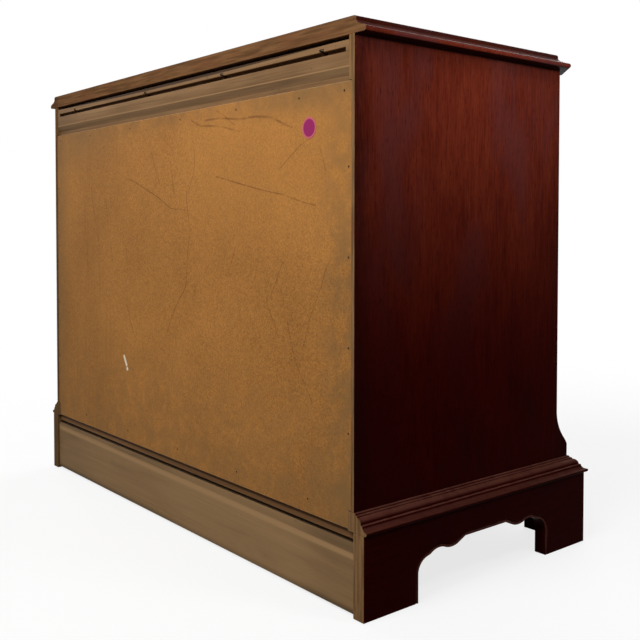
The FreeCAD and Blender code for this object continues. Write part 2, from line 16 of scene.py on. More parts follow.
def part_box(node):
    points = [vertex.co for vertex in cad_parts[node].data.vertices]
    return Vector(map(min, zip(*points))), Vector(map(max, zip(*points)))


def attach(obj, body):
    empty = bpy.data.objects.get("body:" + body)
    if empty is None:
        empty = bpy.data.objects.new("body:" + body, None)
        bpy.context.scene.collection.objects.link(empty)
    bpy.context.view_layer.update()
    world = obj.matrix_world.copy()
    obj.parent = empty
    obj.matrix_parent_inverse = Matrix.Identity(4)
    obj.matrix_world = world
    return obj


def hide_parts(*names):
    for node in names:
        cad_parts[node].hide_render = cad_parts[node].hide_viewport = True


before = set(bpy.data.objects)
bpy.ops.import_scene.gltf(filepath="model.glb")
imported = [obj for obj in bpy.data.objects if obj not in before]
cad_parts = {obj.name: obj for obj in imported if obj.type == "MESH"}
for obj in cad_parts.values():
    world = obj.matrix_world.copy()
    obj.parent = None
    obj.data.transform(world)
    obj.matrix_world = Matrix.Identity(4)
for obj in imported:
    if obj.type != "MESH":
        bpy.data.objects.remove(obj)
log = logging.getLogger("chest")

Colour = tuple[float, float, float]
Point = tuple[float, float, float]
Step = tuple[float, float]
Breaks = tuple[float, ...]
Socket = bpy.types.NodeSocket
Value = Union[float, Socket]

MM = 0.001
WELD = 0.002 * MM
FLAT_TURN = math.radians(0.5)
ARRIS_TURN = math.radians(34)
QUARTER_TURN = math.radians(90)
CASE_HALF = 0.475
DRAWERS = 4
WHITE = (1.0, 1.0, 1.0)
CLOUD_ROUGHNESS = 0.55
RAY_SAMPLES = 6
EDGE_STEP = (0.995, 0.86)
HOLLOW_STEP = (0.80, 0.35)
BACKWARDS = (0.80, 0.90)
INWARDS = (-0.25, -0.40)
DOWNWARDS = (-0.90, -0.97)


class Along(Enum):
    """Direction on the chest, in which fibres run and places are told."""

    WIDTH = 0
    DEPTH = 1
    HEIGHT = 2

    def stretch(self, scale: float) -> Point:
        """Scale of a pattern that is drawn out this way."""
        return tuple(scale if axis == self.value else 1.0 for axis in range(3))


@dataclass(frozen=True)
class Cloud:
    """A cloudy pattern: clouds to a metre, finer layers, bend, scale along the fibres, step as a mask."""

    scale: float
    detail: float = 3.0
    warp: float = 0.0
    along: float = 1.0
    step: Step = (0.0, 1.0)


@dataclass(frozen=True)
class Zone:
    """A soft step between two places on the chest, with the values before and after it."""

    along: Along
    start: float
    end: float
    first: float = 0.0
    last: float = 1.0


across = partial(Zone, Along.WIDTH)
backward = partial(Zone, Along.DEPTH)
upward = partial(Zone, Along.HEIGHT)

BACK_PLANE = backward(0.2400, 0.2405)
BEHIND_FRONT = backward(-0.190, -0.185)


def scaled(colour: Colour, share: float) -> Colour:
    """A colour made darker or lighter."""
    return tuple(share * part for part in colour)


class Shade:
    """Builds the nodes of one material."""

    def __init__(self, name: str) -> None:
        """Starts an empty material.

        Args:
            name: Name of the material.
        """
        self.material = bpy.data.materials.new(name)
        self.material.use_nodes = True
        self.tree = self.material.node_tree
        self.tree.nodes.clear()
        self.place = self.node("ShaderNodeTexCoord", {}).outputs["Object"]

    def feed(self, socket: Socket, value: object) -> None:
        """Links a socket to a value, or sets it.

        Args:
            socket: The input to feed.
            value: Another socket, a number or a colour.
        """
        if isinstance(value, Socket):
            self.tree.links.new(value, socket)
        elif socket.type == "RGBA":
            socket.default_value = (*value, 1.0)
        else:
            socket.default_value = value

    def node(self, kind: str, inputs: dict[Union[str, int], object], **settings: object) -> bpy.types.Node:
        """Adds a node.

        Args:
            kind: Type of the node.
            inputs: What each of its inputs gets.
            **settings: Settings of the node.

        Returns:
            The new node.
        """
        made = self.tree.nodes.new(kind)
        for key, value in settings.items():
            setattr(made, key, value)
        for key, value in inputs.items():
            self.feed(made.inputs[key], value)
        return made

    def cloud(self, cloud: Cloud, grain: Along = Along.WIDTH) -> Socket:
        """Value of a cloudy pattern.

        Args:
            cloud: The pattern.
            grain: Direction in which it is drawn out.

        Returns:
            A value about one half.
        """
        mapping = {"Vector": self.place, "Scale": grain.stretch(cloud.along)}
        place = self.node("ShaderNodeMapping", mapping).outputs[0]
        inputs = {"Vector": place, "Scale": cloud.scale, "Detail": cloud.detail}
        inputs |= {"Roughness": CLOUD_ROUGHNESS, "Distortion": cloud.warp}
        return self.node("ShaderNodeTexNoise", inputs).outputs[0]

    def patches(self, cloud: Cloud, grain: Along = Along.WIDTH) -> Socket:
        """Mask of a cloudy pattern."""
        return self.span(self.cloud(cloud, grain), *cloud.step)

    def bent(self, scale: float, reach: float) -> Socket:
        """Object coordinates that waver, for marks drawn by hand.

        Args:
            scale: Bends to a metre.
            reach: How far the place is moved at most.

        Returns:
            The bent place.
        """
        bends = {"Vector": self.place, "Scale": scale, "Detail": 0.0}
        clouds = self.node("ShaderNodeTexNoise", bends).outputs["Color"]
        sway = self.vector("SUBTRACT", clouds, (0.5, 0.5, 0.5))
        inputs = {0: sway, 1: (2.0 * reach,) * 3, 2: self.place}
        return self.node("ShaderNodeVectorMath", inputs, operation="MULTIPLY_ADD").outputs[0]

    def calc(self, operation: str, *values: Value) -> Socket:
        """Result of a sum on one to three values."""
        return self.node("ShaderNodeMath", dict(enumerate(values)), operation=operation).outputs[0]

    def product(self, *values: Value) -> Value:
        """Several values multiplied."""
        return reduce(lambda left, right: self.calc("MULTIPLY", left, right), values)

    def either(self, *values: Value) -> Value:
        """The largest of several values."""
        return reduce(lambda left, right: self.calc("MAXIMUM", left, right), values)

    def blend(self, share: float, first: Value, second: Value) -> Socket:
        """Two values mixed, with a share of the second."""
        return self.calc("MULTIPLY_ADD", second, share, self.product(first, 1.0 - share))

    def span(self, value: Value, low: float, high: float, first: float = 0.0, last: float = 1.0) -> Socket:
        """Smooth step of a value.

        Args:
            value: What is read.
            low: Where the step starts.
            high: Where the step ends.
            first: Result at the start.
            last: Result at the end.

        Returns:
            The stepped value.
        """
        inputs = {"Value": value, "From Min": low, "From Max": high, "To Min": first, "To Max": last}
        return self.node("ShaderNodeMapRange", inputs, interpolation_type="SMOOTHSTEP").outputs[0]

    def zone(self, zone: Zone) -> Socket:
        """Mask of a zone of the chest."""
        place = self.parts(self.place)[zone.along.value]
        return self.span(place, zone.start, zone.end, zone.first, zone.last)

    def ramp(self, value: Value, stops: Sequence[tuple[float, Colour]]) -> Socket:
        """Colour ramp.

        Args:
            value: Where the ramp is read.
            stops: Positions and their colours.

        Returns:
            The colour.
        """
        made = self.node("ShaderNodeValToRGB", {"Fac": value})
        elements = made.color_ramp.elements
        for _ in stops[2:]:
            elements.new(0.5)
        for element, (position, colour) in zip(elements, stops):
            element.position = position
            element.color = (*colour, 1.0)
        return made.outputs[0]

    def mix(self, factor: Value, first: object, second: object, mode: str = "MIX") -> Socket:
        """Mix of two colours."""
        inputs = {0: factor, 6: first, 7: second}
        return self.node("ShaderNodeMix", inputs, data_type="RGBA", blend_type=mode).outputs[2]

    def laid(self, colour: object, tone: object, *amounts: Value) -> Socket:
        """A colour with a tone laid over it, as far as all the amounts let it."""
        return self.mix(self.product(*amounts), colour, tone)

    def vector(self, operation: str, first: object, second: object) -> Socket:
        """Result of a sum on two vectors."""
        made = self.node("ShaderNodeVectorMath", {0: first, 1: second}, operation=operation)
        return made.outputs["Value" if operation in ("DOT_PRODUCT", "DISTANCE") else "Vector"]

    def parts(self, vector: Value) -> bpy.types.bpy_prop_collection:
        """The three parts of a vector."""
        return self.node("ShaderNodeSeparateXYZ", {0: vector}).outputs

    def facing(self, kind: str = "True Normal") -> bpy.types.bpy_prop_collection:
        """The three parts of a face's direction."""
        return self.parts(self.node("ShaderNodeNewGeometry", {}).outputs[kind])

    def edge(self, radius: float) -> Socket:
        """Mask of the arrises.

        Args:
            radius: Reach of the mask from an arris.

        Returns:
            A value of 0 on a flat and about 1 on an arris.
        """
        eased = self.node("ShaderNodeBevel", {"Radius": radius}, samples=RAY_SAMPLES).outputs[0]
        plain = self.node("ShaderNodeNewGeometry", {}).outputs["Normal"]
        return self.span(self.vector("DOT_PRODUCT", eased, plain), *EDGE_STEP)

    def crevice(self, reach: float) -> Socket:
        """Mask of a piece's own hollows.

        Args:
            reach: How far the walls of a hollow may be.

        Returns:
            A value of 0 on an open face and about 1 deep in a hollow.
        """
        settings = {"samples": RAY_SAMPLES, "only_local": True}
        made = self.node("ShaderNodeAmbientOcclusion", {"Distance": reach}, **settings)
        return self.span(made.outputs["AO"], *HOLLOW_STEP)

    def unveneered(self) -> Socket:
        """Mask of the faces in the chest's back plane and of those turned to its inside.

        Returns:
            A value of 1 on those faces and 0 on the others.
        """
        sideways, deep, rise = self.facing()[:3]
        x = self.parts(self.place)[0]
        back = self.product(self.span(deep, *BACKWARDS), self.zone(BACK_PLANE))
        inner = self.span(self.product(sideways, x), *INWARDS)
        within = self.span(self.calc("ABSOLUTE", x), CASE_HALF + MM, CASE_HALF - MM)
        under = self.product(within, self.zone(BEHIND_FRONT), self.span(rise, *DOWNWARDS))
        return self.either(back, inner, under)

    def surface(
        self, colour: object, rough: Value, height: Value = 0.5, bump: float = 0.0, **sockets: object
    ) -> bpy.types.Material:
        """Closes the material with its shader.

        Args:
            colour: Base colour.
            rough: Roughness.
            height: Height for the bump.
            bump: Depth of the bump in metres.
            **sockets: Further inputs of the shader, with _ for a space.

        Returns:
            The finished material.
        """
        inputs = {key.replace("_", " "): value for key, value in sockets.items()}
        inputs |= {"Base Color": colour, "Roughness": rough}
        if bump:
            relief = {"Height": height, "Distance": bump, "Strength": 1.0}
            inputs["Normal"] = self.node("ShaderNodeBump", relief).outputs[0]
        shader = self.node("ShaderNodeBsdfPrincipled", inputs)
        self.node("ShaderNodeOutputMaterial", {"Surface": shader.outputs[0]})
        return self.material


@dataclass(frozen=True)
class Veneer:
    """Satin red-brown mahogany, bare in the back plane and on the inside of the case."""

    name: str
    grain: Along
    gloss: float = 0.03
    wear_and_highlight: float = 0.5
    dust_and_light: float = 0.0
    wear_reach: float = 1.4 * MM
    hollow_reach: float = 4.0 * MM
    shade_band: Optional[Step] = None
    shade_band_share: float = 0.7
    rim_shade: float = 0.0
    underside: Step = (-0.30, -0.80)
    upside: Step = (0.12, 0.75)
    streak_share: float = 0.45
    fibre_share: float = 0.40
    plum_share: float = 0.80
    pore_share: float = 0.60
    stain_share: float = 0.55
    patch_share: float = 0.3
    shade_share: float = 0.88
    saw_shade: float = 0.52
    far_shade: float = 0.30
    satin: Step = (0.30, 0.40)
    bare_rough: float = 0.45
    relief: float = 0.05 * MM
    stops: tuple[float, ...] = (0.36, 0.49, 0.65)
    low_painted_light: Colour = (0.80, 0.70, 0.68)
    dark: Colour = (0.060, 0.0076, 0.0046)
    body: Colour = (0.107, 0.0155, 0.0076)
    warm: Colour = (0.150, 0.0270, 0.0112)
    plum: Colour = (0.092, 0.0215, 0.0190)
    pore: Colour = (0.026, 0.0034, 0.0020)
    worn_and_highlight: Colour = (0.190, 0.0760, 0.0460)
    dust_and_light_tone: Colour = (0.084, 0.0290, 0.0200)
    shade_tone: Colour = (0.006, 0.0016, 0.0012)
    bare: Colour = (0.270, 0.1480, 0.0640)
    stained: Colour = (0.190, 0.0780, 0.0360)
    sheen: Colour = (1.0, 0.62, 0.50)
    clouds: Cloud = Cloud(13.0, 4.0, 0.6, 0.45, (0.3, 0.7))
    streaks: Cloud = Cloud(150.0, 3.0, 0.3, 0.10)
    fibres: Cloud = Cloud(520.0, 3.0, 0.0, 0.06)
    pores: Cloud = Cloud(760.0, 1.0, 0.0, 0.10, (0.58, 0.72))
    tints: Cloud = Cloud(7.0, 3.0, 0.4, 0.40, (0.44, 0.64))
    saw_marks: Cloud = Cloud(260.0, 4.0, 0.0, 0.06, (0.30, 0.66))
    stains: Cloud = Cloud(46.0, 4.0, 0.3, 0.30, (0.46, 0.66))
    patches: Cloud = Cloud(60.0, 4.0, step=(0.30, 0.62))
    upwards: Zone = upward(0.25, 0.88)
    far_end: Zone = across(0.455, 0.482, 0.0, 0.55)
    below_top: Zone = upward(0.8116, 0.8126, 1.0, 0.0)
    above_foot: Zone = upward(0.119, 0.134, 0.40, 1.0)
    rims: tuple[Zone, ...] = (
        backward(0.222, 0.262), backward(-0.170, -0.222), upward(0.752, 0.792))

    def make(self) -> bpy.types.Material:
        """Makes the material.

        Returns:
            The material.
        """
        shade = Shade(self.name)
        cloud = shade.cloud(self.clouds, self.grain)
        streak = shade.cloud(self.streaks, self.grain)
        fibre = shade.cloud(self.fibres, self.grain)
        pores = shade.patches(self.pores, self.grain)
        figure = shade.blend(self.streak_share, cloud, streak)
        figure = shade.blend(self.fibre_share, figure, fibre)
        colour = shade.ramp(figure, tuple(zip(self.stops, (self.dark, self.body, self.warm))))
        tint = shade.patches(self.tints, self.grain)
        colour = shade.laid(colour, self.plum, tint, self.plum_share)
        colour = self.aged_and_shaded(shade, shade.laid(colour, self.pore, pores, self.pore_share))
        bare = shade.unveneered()
        colour = shade.laid(colour, self.sawn(shade), bare)
        polish = shade.span(cloud, *self.clouds.step, *self.satin)
        rough = shade.calc("MULTIPLY_ADD", bare, self.bare_rough, polish)
        height = shade.calc("SUBTRACT", fibre, pores)
        return shade.surface(
            colour, rough, height, self.relief, Specular_IOR_Level=self.gloss, Specular_Tint=self.sheen)

    def sawn(self, shade: Shade) -> Socket:
        """Colour of the bare wood.

        Args:
            shade: The material that is made.

        Returns:
            The colour, duller at the end away from the camera.
        """
        along = Along.WIDTH if self.grain is Along.WIDTH else Along.HEIGHT
        saw = shade.patches(self.saw_marks, along)
        colour = shade.mix(saw, scaled(self.bare, self.saw_shade), self.bare)
        stain = shade.patches(self.stains, self.grain)
        colour = shade.laid(colour, self.stained, stain, self.stain_share)
        return shade.laid(colour, scaled(self.stained, self.far_shade), shade.zone(self.far_end))

    def aged_and_shaded(self, shade: Shade, colour: Socket) -> Socket:
        """Darkens the foot with painted shade, lays a dusting with painted light, paints shade in bands, at
        the rims, in hollows and on undersides, and lightens the arrises with rubbing and painted highlight.

        Args:
            shade: The material that is made.
            colour: The fresh colour.

        Returns:
            The colour with painted light and shade, rubbing and a dusting.
        """
        # Painted shade: darker towards the foot; on the beads the tint is lighter, a painted highlight.
        tone = shade.mix(shade.zone(self.upwards), self.low_painted_light, WHITE)
        colour = shade.mix(1.0, colour, tone, "MULTIPLY")
        patchy = shade.patches(self.patches)
        clear = 1.0 - self.patch_share
        slope = shade.facing("Normal")[2]
        # A dusting with painted light on upward slopes: lighter on the base, darker on the top's edge.
        if self.dust_and_light:
            up = shade.product(shade.span(slope, *self.upside), shade.zone(self.below_top))
            dust_and_light_share = shade.calc("MULTIPLY_ADD", patchy, self.patch_share * self.dust_and_light, clear * self.dust_and_light)
            colour = shade.laid(colour, self.dust_and_light_tone, up, shade.zone(self.above_foot), dust_and_light_share)
        # Painted shade in a band between two heights: under the top's lip on the ends, along the upper edge
        # on the top.
        if self.shade_band:
            low, high = self.shade_band
            start = shade.zone(upward(low - MM, low + MM))
            end = shade.zone(upward(high - MM, high, 1.0, 0.0))
            colour = shade.laid(colour, self.shade_tone, start, end, self.shade_band_share)
        # Painted shade near the back and front rims of the ends and below the lip.
        if self.rim_shade:
            rim = shade.either(*map(shade.zone, self.rims))
            broken = shade.span(patchy, 0.0, 1.0, clear, 1.0)
            colour = shade.laid(colour, self.shade_tone, rim, broken, self.rim_shade)
        # Rubbing with painted highlight lightens the arrises.
        colour = shade.laid(colour, self.worn_and_highlight, shade.edge(self.wear_reach), patchy, self.wear_and_highlight)
        # Painted shade in hollows and on undersides.
        painted_shade_mask = shade.either(shade.crevice(self.hollow_reach), shade.span(slope, *self.underside))
        return shade.laid(colour, self.shade_tone, painted_shade_mask, self.shade_share)


@dataclass(frozen=True)
class Scuff:
    """A thin mark on a face of the back, through places in x and z."""

    places: tuple[tuple[float, float], ...]
    width: float = 1.5 * MM
    core: float = 0.25

    def mask(self, shade: Shade, place: Socket) -> Socket:
        """Mask of the mark.

        Args:
            shade: The material that it is drawn in.
            place: Coordinates that it is drawn on.

        Returns:
            A value of about 1 along the mark.
        """
        nearest: Value = 1.0
        for (x0, z0), (x1, z1) in zip(self.places, self.places[1:]):
            run = Vector((x1 - x0, 0.0, z1 - z0))
            offset = shade.vector("SUBTRACT", place, (x0, 0.0, z0))
            offset = shade.vector("MULTIPLY", offset, (1.0, 0.0, 1.0))
            share = shade.vector("DOT_PRODUCT", offset, tuple(run / run.length_squared))
            clamped = shade.calc("MINIMUM", shade.calc("MAXIMUM", share, 0.0), 1.0)
            along = shade.node("ShaderNodeVectorMath", {0: tuple(run), "Scale": clamped}, operation="SCALE")
            nearest = shade.calc("MINIMUM", nearest, shade.vector("DISTANCE", offset, along.outputs[0]))
        return shade.span(nearest, self.width, self.core * self.width)


@dataclass(frozen=True)
class BareWood:
    """Planed or sawn wood without varnish."""

    name: str
    grain: Along
    dark: Colour = (0.125, 0.0700, 0.0290)
    light: Colour = (0.275, 0.1680, 0.0760)
    dirt: Colour = (0.062, 0.0360, 0.0170)
    darkening: float = 0.5
    specks: float = 0.0
    bevel_dirt: float = 0.0
    foot_dirt: float = 0.0
    top_shade: float = 0.0
    end_shade: float = 0.0
    upper_edge: float = 0.0
    upper_edge_shade: Colour = (0.060, 0.0230, 0.0055)
    groove: Optional[Step] = None
    groove_shade: Colour = (0.130, 0.0550, 0.0140)
    crest: float = 0.0
    crest_bow: float = 4.5 * MM
    crest_half: float = 0.46
    crest_soft: float = 0.6 * MM
    crest_shade: Colour = (0.028, 0.0120, 0.0040)
    highlight_lines: tuple[Scuff, ...] = ()
    wear_reach: float = 1.2 * MM
    hollow_reach: float = 5.0 * MM
    bevel_from: Step = (0.04, 0.12)
    bevel_to: Step = (0.55, 0.75)
    upside: Step = (0.80, 0.95)
    fibre_share: float = 0.4
    edge_share: float = 0.35
    line_share: float = 0.85
    hollow_share: float = 0.85
    middle_light_share: float = 0.26
    crest_share: float = 0.92
    pale_gain: float = 1.25
    buried_shade: float = 0.55
    rough: float = 0.72
    gloss: float = 0.12
    relief: float = 0.12 * MM
    stops: Step = (0.36, 0.64)
    boards: Cloud = Cloud(60.0, 4.0, 0.5, 0.05)
    fibres: Cloud = Cloud(330.0, 3.0, 0.0, 0.025)
    smears: Cloud = Cloud(24.0, 5.0, 0.4, 0.20, (0.50, 0.76))
    dots: Cloud = Cloud(170.0, 2.0, 0.0, 0.6, (0.68, 0.75))
    foot: Zone = upward(14.0 * MM, 5.0 * MM)
    behind_face: Zone = backward(0.2606, 0.2600)
    far_end: Zone = across(0.34, 0.46, 0.0, 0.24)
    ends: tuple[Zone, ...] = (across(0.26, 0.42), across(-0.37, -0.44))
    middle: tuple[Zone, ...] = (across(-0.41, -0.33), across(0.08, -0.06))

    def make(self) -> bpy.types.Material:
        """Makes the material.

        Returns:
            The material.
        """
        shade = Shade(self.name)
        fibre = shade.cloud(self.fibres, self.grain)
        figure = shade.blend(self.fibre_share, shade.cloud(self.boards, self.grain), fibre)
        colour = shade.ramp(figure, tuple(zip(self.stops, (self.dark, self.light))))
        smear = shade.patches(self.smears, self.grain)
        colour = shade.laid(colour, self.dirt, smear, self.darkening)
        colour = shade.laid(colour, self.light, shade.edge(self.wear_reach), self.edge_share)
        colour = self.hollowed(shade, self.soiled_and_shaded(shade, colour))
        # Painted highlights along the arrises of the bevels.
        for line in self.highlight_lines:
            drawn = line.mask(shade, shade.place)
            colour = shade.laid(colour, scaled(self.light, self.pale_gain), drawn, self.line_share)
        # Painted shade in hollows and on upward faces, such as the back base board's top in its gap.
        shade_mask = shade.product(shade.crevice(self.hollow_reach), self.hollow_share)
        if self.top_shade:
            upper = shade.span(shade.facing()[2], *self.upside, 0.0, self.top_shade)
            shade_mask = shade.either(shade_mask, upper)
        colour = shade.laid(colour, scaled(self.dirt, self.buried_shade), shade_mask)
        return shade.surface(colour, self.rough, fibre, self.relief, Specular_IOR_Level=self.gloss)

    def soiled_and_shaded(self, shade: Shade, colour: Socket) -> Socket:
        """Adds specks, dirt on the bevel and the foot, painted shade at the ends and painted light in the
        middle.

        Args:
            shade: The material that is made.
            colour: The clean colour.

        Returns:
            The colour with dirt and painted light and shade.
        """
        if self.specks:
            dots = shade.patches(self.dots)
            colour = shade.laid(colour, self.dirt, dots, self.specks)
        if self.bevel_dirt:
            tilt = shade.calc("ABSOLUTE", shade.facing()[2])
            sloped = (shade.span(tilt, *self.bevel_from), shade.span(tilt, *self.bevel_to, 1.0, 0.0))
            colour = shade.laid(colour, self.dirt, *sloped, self.bevel_dirt)
        if self.foot_dirt:
            colour = shade.laid(colour, self.dirt, shade.zone(self.foot), self.foot_dirt)
        # Painted shade at the ends and a painted pool of light in the middle.
        if self.end_shade:
            ends = shade.either(*map(shade.zone, self.ends))
            colour = shade.laid(colour, self.dirt, ends, self.end_shade)
            pale = scaled(self.light, self.pale_gain)
            colour = shade.laid(colour, pale, *map(shade.zone, self.middle), self.middle_light_share)
        return colour

    def hollowed(self, shade: Shade, colour: Socket) -> Socket:
        """Paints shade on the upper edge, in the groove and along the crest, where little light falls, and
        darkens the far end.

        Args:
            shade: The material that is made.
            colour: The colour of the open faces.

        Returns:
            The colour of all faces.
        """
        # Painted shadow of the panel along the upper edge.
        if self.upper_edge:
            edge = shade.zone(upward(self.upper_edge - MM, self.upper_edge + MM))
            colour = shade.laid(colour, self.upper_edge_shade, edge)
        # Painted shade in the groove.
        if self.groove:
            low, high = self.groove
            walls = (upward(low - MM, low), upward(high + MM, high))
            colour = shade.laid(colour, self.groove_shade, *map(shade.zone, (self.behind_face, *walls)))
        # Painted shadow of the top along the rail's upper edge, deepest in the middle where the slit is
        # widest.
        if self.crest:
            x, _, rise = shade.parts(shade.place)[:3]
            bow = -self.crest_bow / self.crest_half**2
            depth = shade.calc("MULTIPLY_ADD", shade.product(x, x), bow, self.crest_bow)
            height = shade.calc("ADD", rise, depth)
            darkening = shade.span(height, self.crest - self.crest_soft, self.crest + self.crest_soft)
            colour = shade.laid(colour, self.crest_shade, darkening, self.crest_share)
            # Darker towards the far end (+x).
            colour = shade.laid(colour, self.dirt, shade.zone(self.far_end))
        return colour


@dataclass(frozen=True)
class Hardboard:
    """Tan pressed board, scuffed, grimy and with painted shade along its edges, and with a painted pool of
    light.
    """

    name: str
    pale: Colour = (0.500, 0.2180, 0.0525)
    body: Colour = (0.382, 0.1645, 0.0395)
    dull: Colour = (0.262, 0.1110, 0.0270)
    mark: Colour = (0.135, 0.0470, 0.0125)
    grey: Colour = (0.215, 0.1150, 0.0420)
    chip: Colour = (0.860, 0.7600, 0.5600)
    wear_reach: float = 1.6 * MM
    speck_share: float = 0.70
    dirt_and_shade_share: float = 0.70
    smear_share: float = 0.56
    scratch_share: float = 0.46
    edge_share: float = 0.35
    rough: float = 0.78
    gloss: float = 0.10
    relief: float = 0.10 * MM
    stops: tuple[float, ...] = (0.36, 0.50, 0.64)
    low_breaks: Breaks = (0.30, 0.62)
    top_breaks: Breaks = (0.34, 0.70, 0.25, 1.0)
    far_breaks: Breaks = (0.26, 0.60, 0.5, 1.0)
    corner_shade_breaks: Breaks = (0.20, 0.60, 0.6, 1.0)
    mark_breaks: Breaks = (0.34, 0.54, 0.35, 1.0)
    clouds: Cloud = Cloud(5.0, 5.0, 0.4)
    specks: Cloud = Cloud(420.0, 4.0)
    blotches: Cloud = Cloud(34.0, 4.0, 0.5)
    drags: Cloud = Cloud(150.0, 3.0, 0.2, 0.035, (0.50, 0.72))
    bends: float = 13.0
    bend_reach: float = 8.0 * MM
    near_edge: Zone = across(-0.385, -0.465)
    far_edge: Zone = across(0.405, 0.472)
    top_edge: Zone = upward(0.683, 0.728)
    foot: Zone = upward(0.38, 0.14, 0.0, 0.62)
    foot_edge: Zone = upward(0.19, 0.14, 0.0, 0.22)
    dragged: Zone = across(0.06, 0.24, 0.06, 0.30)
    lit_patch: tuple[Zone, ...] = (across(-0.02, -0.16, 0.0, 0.30), upward(0.45, 0.60))
    near_top: tuple[Zone, ...] = (
        across(-0.16, -0.40, 0.0, 0.75), upward(0.676, 0.724))
    far_top: tuple[Zone, ...] = (
        across(0.10, 0.36, 0.0, 0.50), upward(0.63, 0.70, 0.2, 1.0))
    near_foot: tuple[Zone, ...] = (
        across(-0.34, -0.44, 0.0, 0.50), upward(0.27, 0.16))
    smears: tuple[Scuff, ...] = (
        Scuff(((-0.075, 0.712), (-0.216, 0.680)), 2.2 * MM),
        Scuff(((-0.115, 0.712), (-0.299, 0.690), (-0.343, 0.678)), 2.6 * MM),
        Scuff(((-0.145, 0.617), (-0.287, 0.588), (-0.400, 0.561)), 1.7 * MM),
        Scuff(((-0.055, 0.594), (-0.064, 0.517), (-0.050, 0.431), (0.010, 0.348)), 1.7 * MM),
        Scuff(((0.162, 0.622), (0.089, 0.603), (-0.001, 0.565), (-0.051, 0.558)), 1.6 * MM))
    scratches: tuple[Scuff, ...] = tuple(map(Scuff, (
        ((0.069, 0.666), (0.034, 0.606)), ((0.313, 0.616), (0.270, 0.480)),
        ((0.331, 0.499), (0.332, 0.421)), ((0.159, 0.382), (0.134, 0.327)),
        ((-0.325, 0.475), (-0.294, 0.429)), ((-0.281, 0.420), (-0.319, 0.367)),
        ((-0.337, 0.394), (-0.361, 0.334), (-0.400, 0.268)),
        ((-0.420, 0.471), (-0.378, 0.362)),
        ((-0.411, 0.646), (-0.424, 0.610)), ((-0.366, 0.653), (-0.319, 0.620)),
        ((-0.187, 0.462), (-0.202, 0.494)), ((-0.145, 0.722), (-0.202, 0.692)),
        ((-0.078, 0.673), (-0.076, 0.627), (-0.060, 0.590)), ((0.001, 0.644), (-0.016, 0.589)),
        ((0.248, 0.586), (0.242, 0.548)), ((0.227, 0.495), (0.221, 0.446)),
        ((0.164, 0.496), (0.150, 0.439)), ((0.345, 0.627), (0.337, 0.524)))))
    chips: tuple[Scuff, ...] = (
        Scuff(((0.174, 0.280), (0.164, 0.264)), 4.6 * MM), Scuff(((0.161, 0.257), (0.160, 0.256)), 5.0 * MM))

    def make(self) -> bpy.types.Material:
        """Makes the material.

        Returns:
            The material.
        """
        shade = Shade(self.name)
        speck = shade.cloud(self.specks)
        figure = shade.blend(self.speck_share, shade.cloud(self.clouds), speck)
        colour = shade.ramp(figure, tuple(zip(self.stops, (self.dull, self.body, self.pale))))
        blotch = shade.cloud(self.blotches)
        colour = self.grimed_and_shaded(shade, colour, blotch)
        drag = shade.patches(self.drags, Along.HEIGHT)
        colour = shade.laid(colour, self.dull, drag, shade.zone(self.dragged))
        broken = shade.span(blotch, *self.mark_breaks)
        brown = self.all_of(shade, self.smears, broken)
        colour = shade.laid(colour, self.mark, brown, self.smear_share)
        fine = self.all_of(shade, self.scratches, broken)
        colour = shade.laid(colour, self.mark, fine, self.scratch_share)
        colour = shade.laid(colour, self.chip, self.all_of(shade, self.chips, 1.0))
        colour = shade.laid(colour, self.chip, shade.edge(self.wear_reach), self.edge_share)
        height = shade.calc("SUBTRACT", speck, brown)
        return shade.surface(colour, self.rough, height, self.relief, Specular_IOR_Level=self.gloss)

    def grimed_and_shaded(self, shade: Shade, colour: Socket, blotch: Socket) -> Socket:
        """Greys the edges with dirt and painted shade, greys the corners with painted shade, and lightens a
        painted pool of light.

        Args:
            shade: The material that is made.
            colour: The clean colour.
            blotch: Pattern that breaks up the dirt and the painted shade.

        Returns:
            The colour with dirt and painted light and shade.
        """
        # Dirt and painted shade: greyer near the near end, the foot, the top edge and the far edge.
        low = shade.either(shade.zone(self.near_edge), shade.zone(self.foot))
        low = shade.product(low, shade.span(blotch, *self.low_breaks))
        upper = shade.product(shade.zone(self.top_edge), shade.span(blotch, *self.top_breaks))
        far = shade.product(shade.zone(self.far_edge), shade.span(blotch, *self.far_breaks))
        colour = shade.laid(colour, self.grey, shade.either(low, upper, far), self.dirt_and_shade_share)
        # Painted pool of light in the middle of the panel.
        colour = shade.laid(colour, self.pale, *map(shade.zone, self.lit_patch))
        # Painted shade in the corners and along the foot.
        corners = (self.near_top, self.far_top, self.near_foot)
        corner_shade = [shade.product(*map(shade.zone, corner)) for corner in corners]
        corner_shade = shade.either(*corner_shade, shade.zone(self.foot_edge))
        return shade.laid(colour, self.grey, corner_shade, shade.span(blotch, *self.corner_shade_breaks))

    def all_of(self, shade: Shade, marks: Iterable[Scuff], broken: Value) -> Socket:
        """Mask of several marks together, with breaks in them.

        Args:
            shade: The material that they are drawn in.
            marks: The marks.
            broken: What is left of a mark from place to place.

        Returns:
            A value of about 1 along the marks.
        """
        place = shade.bent(self.bends, self.bend_reach)
        return shade.product(shade.either(*(mark.mask(shade, place) for mark in marks)), broken)


